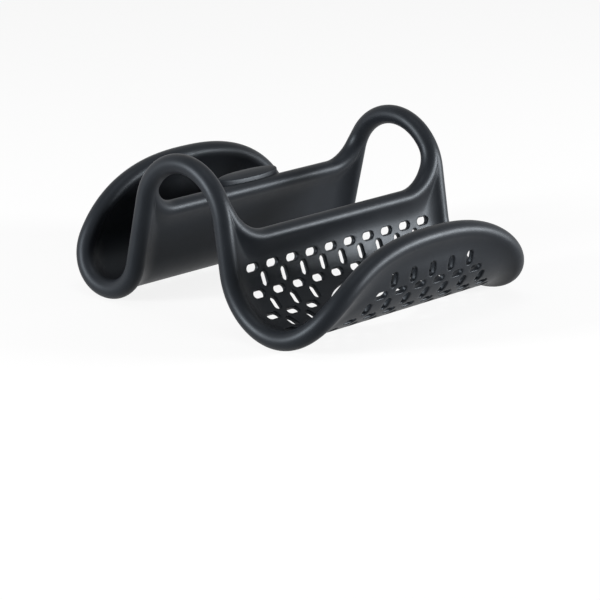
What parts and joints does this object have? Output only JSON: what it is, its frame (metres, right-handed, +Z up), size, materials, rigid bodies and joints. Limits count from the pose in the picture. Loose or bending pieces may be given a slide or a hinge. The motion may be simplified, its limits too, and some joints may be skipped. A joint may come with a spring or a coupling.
{
  "type": "sink caddy",
  "caption": "Wave-shaped flexible caddy that hangs over a sink divider: a plain sponge trough, a cut-out hump and a perforated brush trough with an oval handle hole.",
  "frame": {"origin": "middle of the bounding box's bottom, on the surface the trough beads stand on", "axes": "+Z up, +X across the wave from the sponge trough to the brush trough, Y along the depth"},
  "size_m": [0.1354, 0.118, 0.0622],
  "materials": {
    "moulding": "satin, nearly black flexible plastic"
  },
  "bodies": {
    "saddle": {"front_strap": "moulding", "rear_strap": "moulding"},
    "sponge_side": {"sponge_rim": "moulding", "sponge_pocket": "moulding", "grip_pad": "moulding"},
    "brush_side": {"brush_rim": "moulding", "brush_pocket": "moulding"}
  },
  "joints": [
    {"name": "sponge_flex", "type": "hinge", "parent": "saddle", "child": "sponge_side", "pos_m": [-0.0231, 0, 0.0545], "axis": [0, 1, 0], "range_deg": [0, 10], "stiffness_Nm_per_rad": 0.5},
    {"name": "brush_flex", "type": "hinge", "parent": "saddle", "child": "brush_side", "pos_m": [0.0123, 0, 0.0545], "axis": [0, -1, 0], "range_deg": [0, 10], "stiffness_Nm_per_rad": 0.5}
  ]
}
